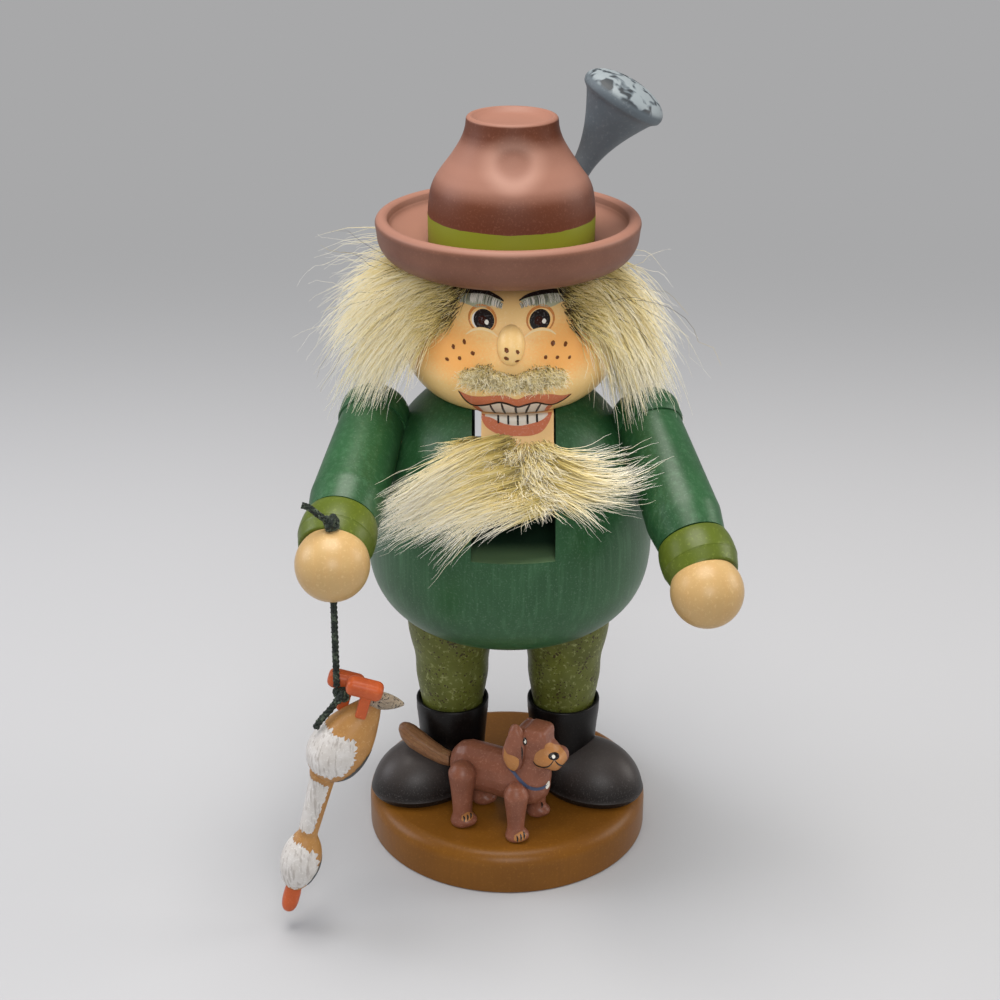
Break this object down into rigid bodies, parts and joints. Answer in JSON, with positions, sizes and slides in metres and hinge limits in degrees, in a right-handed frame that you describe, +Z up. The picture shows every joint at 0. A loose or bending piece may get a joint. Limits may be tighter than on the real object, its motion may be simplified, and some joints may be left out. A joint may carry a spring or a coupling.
{
  "type": "nutcracker figure",
  "caption": "Wooden nutcracker: a stout hunter in a green coat and brown hat with fur hair and a working jaw lever, on a round base with a dog and a goose on a cord.",
  "frame": {"origin": "centre of the round base's flat underside", "axes": "+Z up; the figure faces -Y; +X towards the figure's own left hand"},
  "size_m": [0.1113, 0.108, 0.204],
  "materials": {
    "base": "golden brown wood stain, satin lacquer",
    "boots": "black paint, satin",
    "breeches": "olive green paint with dark speckles, satin",
    "coat": "dark green paint, satin",
    "bare_wood": "natural beech, clear lacquer",
    "skin": "light peach paint with painted features, satin",
    "hat": "reddish brown paint, satin",
    "plume": "slate grey paint, satin",
    "cuffs": "yellow green paint, satin",
    "goose": "ochre stain with white brushed patches, satin",
    "goose_orange": "orange red paint, satin",
    "goose_grey": "grey brown stain with dark lines, satin",
    "dog": "dark reddish brown paint with painted features, satin",
    "fur": "long pale plush fur",
    "cord": "braided dark green cord",
    "steel": "plain turned steel"
  },
  "bodies": {
    "figure": {"base_disc": "base", "right_boot_shaft": "boots", "left_boot_shaft": "boots", "right_boot_foot": "boots", "left_boot_foot": "boots", "right_breeches": "breeches", "left_breeches": "breeches", "coat_body": "coat", "right_arm": "coat", "left_arm": "coat", "right_shoulder_cap": "coat", "left_shoulder_cap": "coat", "right_leg_dowel": "bare_wood", "left_leg_dowel": "bare_wood", "right_neck_dowel": "bare_wood", "left_neck_dowel": "bare_wood", "right_hand": "bare_wood", "left_hand": "bare_wood", "right_hand_dowel": "bare_wood", "left_hand_dowel": "bare_wood", "right_arm_dowel": "bare_wood", "left_arm_dowel": "bare_wood", "hat_dowel": "bare_wood", "head": "skin", "nose": "skin", "hat_brim": "hat", "hat_crown": "hat", "hat_plume": "plume", "right_cuff": "cuffs", "left_cuff": "cuffs", "moustache": "fur", "hair_right": "fur", "hair_left": "fur", "hair_back": "fur", "cord_top_knot": "cord", "cord_in_hand": "cord", "dog_body": "dog", "dog_head": "dog", "dog_right_ear": "dog", "dog_left_ear": "dog", "dog_right_front_leg": "dog", "dog_left_front_leg": "dog", "dog_right_hind_leg": "dog", "dog_left_hind_leg": "dog", "dog_tail": "dog", "jaw_pin": "steel"},
    "jaw": {"jaw_lever": "coat", "beard": "fur"},
    "cord": {"cord_drop": "cord"},
    "goose": {"cord_low_knot": "cord", "goose_body": "goose", "goose_neck_and_head": "goose", "goose_beak": "goose_orange", "goose_hind_foot": "goose_orange", "goose_hind_leg": "goose_orange", "goose_fore_foot": "goose_orange", "goose_fore_leg": "goose_orange", "goose_tail": "goose_grey"}
  },
  "joints": [
    {"name": "jaw_hinge", "type": "hinge", "parent": "figure", "child": "jaw", "pos_m": [0.0008, 0.002, 0.11], "axis": [1, 0, 0], "range_deg": [0, 25], "deforming": ["beard"]},
    {"name": "cord_swing", "type": "hinge", "parent": "figure", "child": "cord", "pos_m": [-0.04082, -0.05157, 0.09257], "axis": [1, 0, 0], "range_deg": [-30, 15]},
    {"name": "goose_swing", "type": "hinge", "parent": "cord", "child": "goose", "pos_m": [-0.04082, -0.05157, 0.06947], "axis": [0, 1, 0], "range_deg": [-25, 25]}
  ]
}
